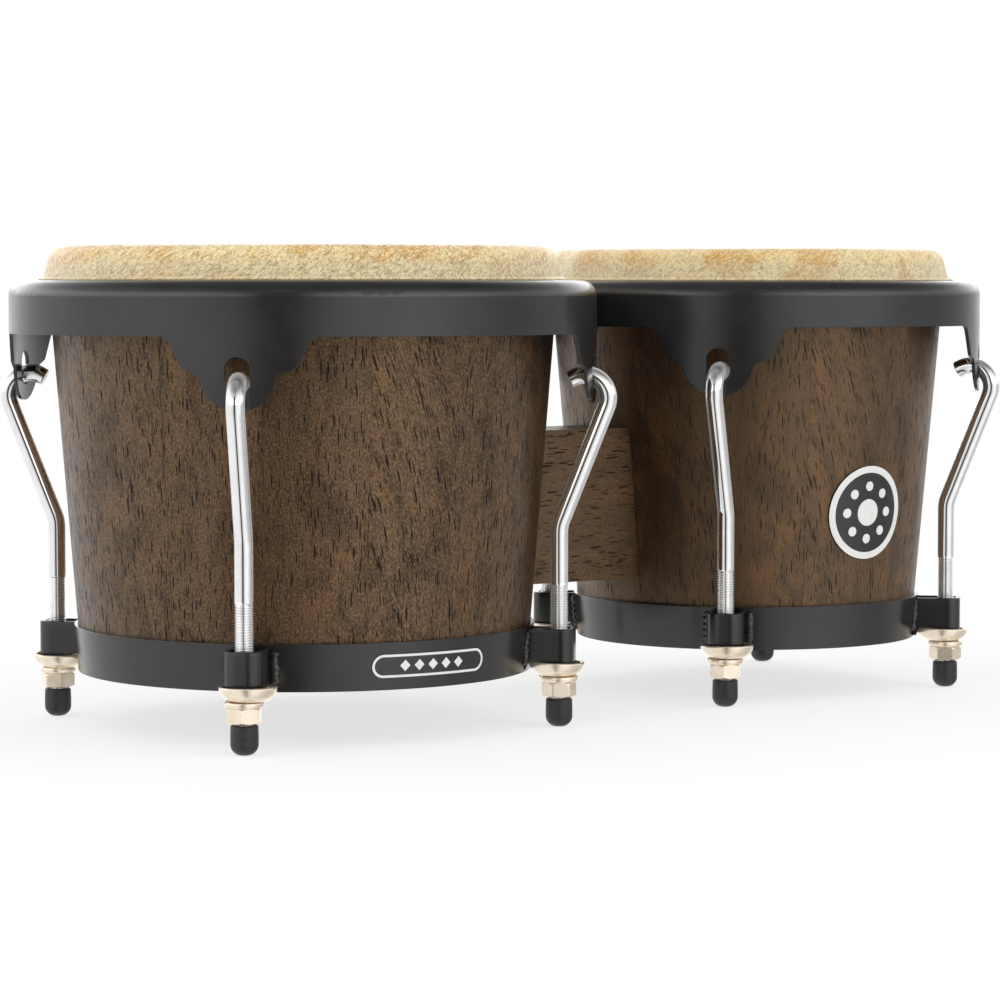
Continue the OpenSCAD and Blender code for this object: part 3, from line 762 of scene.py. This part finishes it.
def rod_cap(drum, index):
    """A soft cap with a domed end and a blind hole for the rod."""
    low, high = box("rod_caps_" + drum.size)
    flat = CAP_R - CAP_END_R
    section = ([(0.0, low.z), (flat, low.z)]
               + arc(flat, low.z + CAP_END_R, CAP_END_R, -90, 0, 12)[1:]
               + [(CAP_R, low.z + 7), (CAP_R - 0.1, high.z - 0.9)]
               + arc(CAP_R - 0.9, high.z - 0.8, 0.8, 0, 90, 5)
               + arc(CAP_HOLE_R + 0.4, high.z - 0.4, 0.4, 90, 180, 3)
               + [(CAP_HOLE_R, CAP_HOLE_Z), (0.0, CAP_HOLE_Z)])
    verts, faces = lathe(section, 48)
    dented = []
    for x, y, z in verts:
        k = 1 + 0.006 * ripple(x, y, z, 5, index)
        dented.append((x * k, y * k, z))
    obj = piece(f"rod_cap_{drum.size}_{index}", dented, faces, RUBBER,
                drum.rod_place(index), sharp=50)
    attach(obj, drum.hoop_set)
    return obj


def hex_radius(a, flat_r, corner_round):
    """Radius of a hexagon with softened corners, in a direction from a corner."""
    turn = (a + math.pi / 6) % (math.pi / 3) - math.pi / 6
    off = math.pi / 6 - abs(turn)
    r = flat_r / math.cos(off)
    return min(r, flat_r / math.cos(math.pi / 6) - corner_round + 0.35 * abs(turn))


NUT_FLAT_R = 6.0
NUT_FLANGE_R = 7.4
NUT_HEX_TALL = 5.6
NUT_BORE = ROD_R + 0.05
# Steps along each flat of a nut
NUT_STEPS = 16


def tuning_nut(drum, index):
    """A chamfered hexagon under a round flange, turned the way its CAD piece is."""
    name = f"nut_{drum.size}_{index}"
    low, high = box(name)
    centre = (low + high) / 2
    hex_top = low.z + NUT_HEX_TALL
    far = max((v.co / MM for v in nodes[name].data.vertices if v.co.z / MM < low.z + 5),
              key=lambda v: math.hypot(v.x - centre.x, v.y - centre.y))
    corner = math.atan2(far.y - centre.y, far.x - centre.x) - drum.rod_angle(index)
    turns = [corner + i * math.pi / 3 / NUT_STEPS for i in range(6 * NUT_STEPS)]
    levels = [(low.z, 0.0), (low.z + 0.12, 0.25), (low.z + 0.3, 0.5), (low.z + 0.45, 0.75),
              (low.z + 0.65, 1.1), (low.z + 0.9, 9), (hex_top - 0.9, 9), (hex_top - 0.65, 1.1),
              (hex_top - 0.4, 0.75), (hex_top - 0.2, 0.4), (hex_top, 0.1)]
    verts = []
    for r, z in ((NUT_BORE, low.z + 0.3), (NUT_BORE + 0.5, low.z)):
        verts += [(r * math.cos(a), r * math.sin(a), z) for a in turns]
    for z, room in levels:
        for a in turns:
            r = min(hex_radius(a - corner, NUT_FLAT_R, 0.06), NUT_FLAT_R - 0.08 + room)
            verts.append((r * math.cos(a), r * math.sin(a), z))
    flange = ([(6.3, hex_top + 0.1)]
              + arc(NUT_FLANGE_R - 0.75, hex_top + 0.95, 0.75, -80, 0, 5)
              + arc(NUT_FLANGE_R - 0.65, high.z - 0.62, 0.62, 0, 88, 5)
              + [(5.4, high.z), (NUT_BORE + 0.4, high.z), (NUT_BORE, high.z - 0.4)])
    for r, z in flange:
        verts += [(r * math.cos(a), r * math.sin(a), z) for a in turns]
    rows = 2 + len(levels) + len(flange)
    faces = grid(rows, len(turns), wrap_rows=True)
    obj = piece(f"tuning_nut_{drum.size}_{index}_body", verts, faces, NICKEL,
                drum.rod_place(index), sharp=28)
    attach(obj, f"tuning_nut_{drum.size}_{index}")
    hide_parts(name)


# Each cup washer's lift, and how far and which way it leans, in degrees
CUP_LIFT = 0.14
CUP_BORE = 5.2
CUP_TILTS = (1.3, 1.8, 1.1, 1.9)
CUP_HEADINGS = (40, 200, 285, 130)


def cup_washer(drum, index):
    """A pressed bowl that has settled a little to one side under its lug."""
    low, high = box("cup_washers_" + drum.size)
    base, rim = low.z, high.z
    outer = [(6.9, base), (7.3, base + 0.12), (7.75, base + 0.4), (8.3, base + 0.8),
             (9.2, base + 1.45), (9.85, base + 2.1), (10.25, base + 2.75), (10.6, base + 3.55),
             (10.82, base + 4.3), (10.92, base + 4.95)]
    lip = arc(10.35, rim - 0.6, 0.62, 0, 180, 8)
    inner = [(9.7, base + 4.3), (9.5, base + 3.4), (8.9, base + 2.5), (7.9, base + 1.7),
             (6.8, base + 1.35), (CUP_BORE + 0.3, base + 1.3), (CUP_BORE, base + 1.0),
             (CUP_BORE, base + 0.3), (CUP_BORE + 0.3, base)]
    verts, faces = lathe(outer + lip + inner, 72)
    dented = []
    for x, y, z in verts:
        k = 1 + 0.008 * ripple(x, y, z, 6, index * 3.3 + drum.top_r) * (z - base) / (rim - base)
        dented.append((x * k, y * k, z))
    tilt = math.radians(CUP_TILTS[index - 1])
    heading = math.radians(CUP_HEADINGS[index - 1])
    axis = Vector((math.cos(heading), math.sin(heading), 0))
    pivot = Vector((0, 0, base + 2))
    lean = (Matrix.Translation(pivot + drum.cup_shift(index)) @ Matrix.Rotation(tilt, 4, axis)
            @ Matrix.Translation(Vector((0, 0, CUP_LIFT)) - pivot))
    obj = piece(f"cup_washer_{drum.size}_{index}", dented, faces, NICKEL,
                drum.rod_place(index) @ lean, sharp=50)
    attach(obj, ROOT)
    return obj


# ---------- lugs ----------

def strap_line(drum, z):
    """Mid line of a lug in plan, as (x, y) from one leg's foot round the nose to the other."""
    half, nose, corner = 6.2, 5.3, 4.0
    foot = drum.ring_out(z) - drum.rod_r
    # The ring's outer face bends back at the legs
    side = drum.rod_r + foot - math.sqrt((drum.rod_r + foot) ** 2 - half ** 2)
    foot = foot - side + 0.1
    one = [(foot, half)]
    for s in (1, -1):
        centre = (nose - corner, s * (half - corner))
        span = (90, 0) if s > 0 else (0, -90)
        one += arc(centre[0], centre[1], corner, span[0], span[1], 8)
    return lines(one + [(foot, -half)], 1.2)


# A lug's nose stands inside its cup washer and its legs pass over the rim
CUP_INSIDE, CUP_OUTSIDE = 8.9, 11.5
STRAP_HALF = 1.0
STRAP_ROUND = 0.5


def lug_bottom(x, y, z_foot, cup_top):
    """Height of a lug's lower edge, at a place seen from the cup washer's middle."""
    r = math.hypot(x, y)
    if r < CUP_INSIDE:
        return cup_top - 0.7
    if r < CUP_OUTSIDE:
        return cup_top + 0.4
    return z_foot


def strap_section(bottom, top):
    """A standing strap's rounded section, as (offset, z)."""
    half, soft = STRAP_HALF, STRAP_ROUND
    rise = [bottom + (top - bottom) * k / 6 for k in range(1, 6)]
    return ([(half, bottom + soft)] + [(half, z) for z in rise] + [(half, top - soft)]
            + arc(half - soft, top - soft, soft, 20, 70, 2)
            + arc(-half + soft, top - soft, soft, 110, 160, 2)
            + [(-half, top - soft)] + [(-half, z) for z in reversed(rise)]
            + [(-half, bottom + soft)]
            + arc(-half + soft, bottom + soft, soft, 200, 250, 2)
            + arc(half - soft, bottom + soft, soft, 290, 340, 2))


def lug(drum, index):
    """A strap bent round the rod, its legs on the ring and its nose in the cup washer."""
    low, high = box("lugs_" + drum.size)
    cup_top = box("cup_washers_" + drum.size)[1].z
    # One ring of points round the strap's rounded section at each place along it
    mid = strap_line(drum, (low.z + high.z) / 2)
    shift = drum.cup_shift(index)
    verts = []
    for i, (x, y) in enumerate(mid):
        before, after = mid[max(0, i - 1)], mid[min(len(mid) - 1, i + 1)]
        dx, dy = after[0] - before[0], after[1] - before[1]
        size = math.hypot(dx, dy)
        nx, ny = -dy / size, dx / size
        bottom = lug_bottom(x - shift.x, y - shift.y, low.z, cup_top)
        shape = strap_section(bottom, high.z)
        for off, z in shape:
            # The legs lean with the ring's taper at their feet
            near = 1 - min(1.0, max(0.0, (x - mid[0][0]) / 4))
            lean = drum.taper * (z - (low.z + high.z) / 2) * near
            verts.append((x - nx * off + lean, y - ny * off, z))
        cols = len(shape)
    faces = grid(len(mid), cols)
    faces.append(tuple(range(cols)))
    faces.append(tuple((len(mid) - 1) * cols + k for k in range(cols)))
    obj = piece(f"lug_{drum.size}_{index}", verts, faces, BLACK, drum.rod_place(index), sharp=40)
    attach(obj, ROOT)
    return obj


# A weld's lower and upper end, how far it lies from the lug's middle, and its size
WELD_LOW, WELD_HIGH = 24.6, 38.2
WELD_SIDE = 8.6
WELD_R = 1.85


def weld(drum, index, side):
    """A lumpy fillet up the corner between a lug's leg and the ring."""
    rows, sides = 34, 16
    seed = index * 7.7 + side * 3.1 + drum.top_r
    verts = []
    for i in range(rows):
        f = i / (rows - 1)
        z = WELD_LOW + (WELD_HIGH - WELD_LOW) * f
        end = math.sqrt(max(0.0, 1 - (2 * f - 1) ** 8))
        r = WELD_R + 0.22 * math.sin(z * 2.4 + seed) + 0.4 * ripple(0, 0, z, 2.2, seed)
        y0 = side * WELD_SIDE + 0.35 * ripple(0, 5, z, 3, seed)
        foot = drum.ring_out(z) - drum.rod_r
        x0 = foot - (drum.rod_r + foot) + math.sqrt((drum.rod_r + foot) ** 2 - y0 ** 2)
        for j in range(sides):
            a = 2 * math.pi * j / sides
            k = r * end * (1 + 0.2 * ripple(math.cos(a) * 2, math.sin(a) * 2, z, 1.6, seed))
            verts.append((x0 + k * math.cos(a) * 0.9, y0 + k * math.sin(a) * 1.1, z))
    end_name = "a" if side > 0 else "b"
    obj = piece(f"weld_{drum.size}_{index}_{end_name}", verts, grid(rows, sides), BLACK,
                drum.rod_place(index), sharp=80)
    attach(obj, ROOT)


# ---------- floor, light and camera ----------

# The camera's place in metres, its angles in degrees and its lens in millimetres
CAMERA_AT = Vector((-0.82835, -1.14452, 0.17263))
CAMERA_YAW = 35.552
CAMERA_PITCH = 3.58
LENS = 122.83
SENSOR = 36
# Radii in millimetres of the floor's rings, and how much of it glows, near and far
FLOOR_RINGS = (0, 300, 900, 2500, 6000, 15000)
FLOOR_GLOW_NEAR, FLOOR_GLOW_FAR = 0.72, 1.0


def floor():
    """A wide pale disc that glows enough to keep only a light shadow."""
    material, t = new_material("pale_floor")
    where = t.place()[0]
    far = t.add("VectorMath", {0: where}, out=1, operation="LENGTH")
    matte = t.add("BsdfPrincipled", {"Base Color": srgb(252, 252, 252), "Roughness": 0.9,
                                     "Specular IOR Level": 0.0})
    glow = t.add("Emission", {"Color": (1, 1, 1, 1), "Strength": 1.0})
    share = t.span(far, 0.25, 1.6, FLOOR_GLOW_NEAR, FLOOR_GLOW_FAR)
    surface = t.add("MixShader", {0: share, 1: matte, 2: glow})
    t.add("OutputMaterial", {"Surface": surface})
    verts, faces = lathe([(r, 0.0) for r in FLOOR_RINGS], 64, closed=False)
    obj = piece("floor", verts, faces, material)
    # The surface faces up
    if obj.data.polygons[0].normal.z < 0:
        obj.data.flip_normals()
    obj.visible_glossy = False


# The dark gap in the studio: degrees to the camera's left, from its core to its edge, and the
# softer dip around it
GAP_AT = 6
GAP_CORE, GAP_EDGE = math.radians(5), math.radians(16)
GAP_COLOUR = (0.07, 0.055, 0.035, 1.0)
DIP_CORE, DIP_EDGE = math.radians(12), math.radians(40)


def world():
    """A white studio, darker behind the camera, brighter on its left."""
    scene_world = bpy.data.worlds.new("studio")
    bpy.context.scene.world = scene_world
    t = Tree(scene_world)
    way = t.add("TexCoord", out=0)
    yaw = math.radians(CAMERA_YAW)
    back = (-math.sin(yaw), -math.cos(yaw), 0.0)
    right = (math.cos(yaw), -math.sin(yaw), 0.0)
    to_back = t.add("VectorMath", {0: way, 1: back}, out=1, operation="DOT_PRODUCT")
    to_right = t.add("VectorMath", {0: way, 1: right}, out=1, operation="DOT_PRODUCT")
    up = t.add("VectorMath", {0: way, 1: (0, 0, 1)}, out=1, operation="DOT_PRODUCT")
    # What shiny surfaces see
    front = t.span(to_back, -0.1, 0.7)
    rightward = t.span(to_right, 0.0, 0.7)
    swing = t.math("SUBTRACT", t.times(front, 0.58), 0.42)
    behind = t.span(to_back, -0.95, -0.5, 0.35, 0)
    level = t.math("ADD", t.math("ADD", 0.92, behind), t.times(rightward, swing))
    high = t.span(up, 0.45, 0.85, 1.0, 0.33)
    band = t.times(t.span(up, 0.04, 0.15), t.span(up, 0.3, 0.5, 1, 0))
    height = t.math("ADD", high, t.times(band, 1.15))
    around = t.math("ARCTAN2", to_right, to_back)
    off = t.math("ABSOLUTE", t.math("ADD", around, math.radians(GAP_AT)))
    gap = t.times(t.span(off, GAP_CORE, GAP_EDGE, 1, 0), t.span(up, 0.45, 0.7, 1, 0))
    dip = t.span(off, DIP_CORE, DIP_EDGE, 0.75, 1.0)
    level = t.times(level, height, dip)
    shine = t.mix(gap, t.vector(level, level, level), GAP_COLOUR)
    # What matt surfaces see
    soft = t.times(t.span(up, -0.2, 1.0, 0.93, 1.06),
                   t.span(to_back, 0.4, 0.95, 1.05, 0.45))
    path = t.nodes.new("ShaderNodeLightPath")
    seen = t.mix(path.outputs["Is Camera Ray"], t.vector(soft, soft, soft), (1, 1, 1, 1))
    seen = t.mix(path.outputs["Is Glossy Ray"], seen, shine)
    surface = t.add("Background", {"Color": seen, "Strength": 1.0})
    t.add("OutputWorld", {"Surface": surface})
    # Light path tests only hold when the background isn't sampled as a lamp
    scene_world.cycles.sampling_method = "NONE"


def lamp(name, at, aim, size, watts):
    data = bpy.data.lights.new(name, "AREA")
    data.shape = "RECTANGLE"
    data.size, data.size_y = size
    data.energy = watts
    obj = bpy.data.objects.new(name, data)
    obj.location = at
    obj.rotation_euler = (Vector(aim) - Vector(at)).to_track_quat("-Z", "Y").to_euler()
    obj.visible_glossy = False
    obj.visible_camera = False
    bpy.context.scene.collection.objects.link(obj)


def camera():
    data = bpy.data.cameras.new("camera")
    data.sensor_width = SENSOR
    data.lens = LENS
    obj = bpy.data.objects.new("camera", data)
    obj.location = CAMERA_AT
    obj.rotation_euler = (math.radians(90 - CAMERA_PITCH), 0, math.radians(-CAMERA_YAW))
    bpy.context.scene.collection.objects.link(obj)
    bpy.context.scene.camera = obj


# ---------- the object ----------

dress_cad()
for drum in DRUMS:
    skin(drum)
    skin_edge(drum)
    caps, cups, lugs = [], [], []
    for index in RODS:
        rod(drum, index)
        tuning_nut(drum, index)
        caps.append(rod_cap(drum, index))
        cups.append(cup_washer(drum, index))
        lugs.append(lug(drum, index))
        weld(drum, index, 1)
        weld(drum, index, -1)
    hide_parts("rod_caps_" + drum.size)
    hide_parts("cup_washers_" + drum.size)
    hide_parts("lugs_" + drum.size)

floor()
world()
lamp("left_softbox", (-2.2, -0.6, 1.3), (0, 0, 0.1), (1.2, 1.6), 12)
lamp("right_softbox", (0.9, -2.2, 1.2), (0, 0, 0.1), (1.2, 1.4), 8)
camera()
bpy.context.scene.view_settings.view_transform = "Standard"
